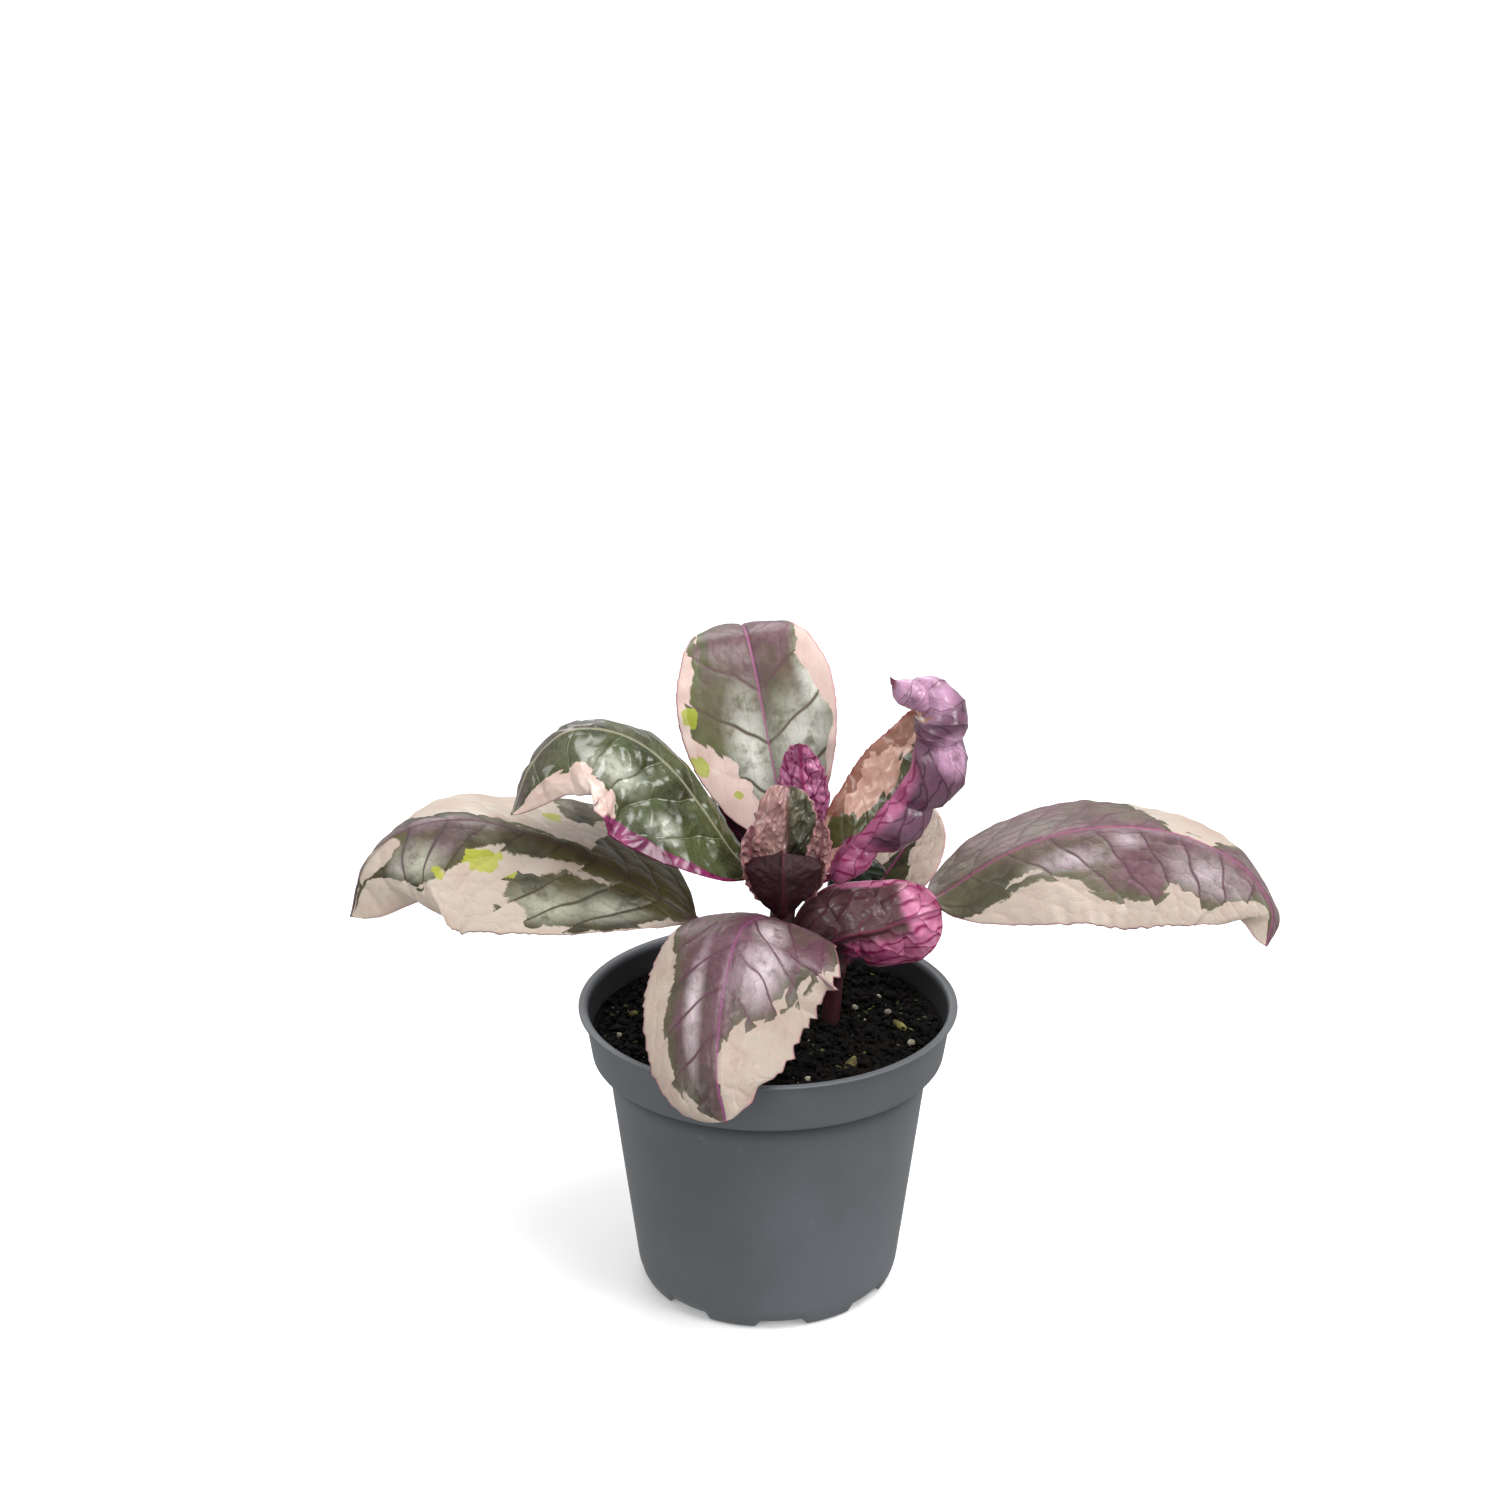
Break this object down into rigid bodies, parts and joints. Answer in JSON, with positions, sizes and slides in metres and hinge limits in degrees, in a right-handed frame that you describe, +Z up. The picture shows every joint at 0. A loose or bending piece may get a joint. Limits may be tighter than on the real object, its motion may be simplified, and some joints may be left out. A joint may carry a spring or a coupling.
{
  "type": "potted strobilanthes",
  "caption": "Small variegated strobilanthes with arching purple, green and cream leaves, growing in a thin tapered nursery pot of dark soil.",
  "frame": {"origin": "centre of the pot's flat underside", "axes": "+Z up along the pot's axis, +X along the widest leaf span, -Y towards the leaf that hangs over the rim"},
  "size_m": [0.2916, 0.1355, 0.2086],
  "materials": {
    "pot_plastic": "satin",
    "peat": "matte",
    "perlite": "matte",
    "bark": "matte",
    "stem": "satin",
    "cream_leaf": "satin",
    "silver_purple_leaf": "satin",
    "green_leaf": "gloss",
    "magenta_leaf": "satin",
    "maroon_leaf": "satin",
    "young_leaf": "satin"
  },
  "bodies": {
    "root": {"pot": "pot_plastic", "soil": "peat", "main_stem": "stem", "side_stem": "stem", "perlite_1": "perlite", "perlite_2": "perlite", "perlite_3": "perlite", "perlite_4": "perlite", "perlite_5": "perlite", "perlite_6": "perlite", "bark_1": "bark", "bark_2": "bark", "bark_3": "bark", "left_leaf": "cream_leaf", "pale_leaf": "cream_leaf", "front_leaf": "silver_purple_leaf", "right_leaf": "silver_purple_leaf", "back_leaf": "silver_purple_leaf", "upper_left_leaf": "green_leaf", "small_green_leaf": "green_leaf", "curled_right_leaf": "magenta_leaf", "small_curled_leaf": "magenta_leaf", "young_purple_leaf": "magenta_leaf", "maroon_leaf": "maroon_leaf", "young_cupped_leaf": "maroon_leaf", "young_leaf": "young_leaf", "left_bract": "young_leaf", "right_bract": "young_leaf"}
  },
  "joints": []
}
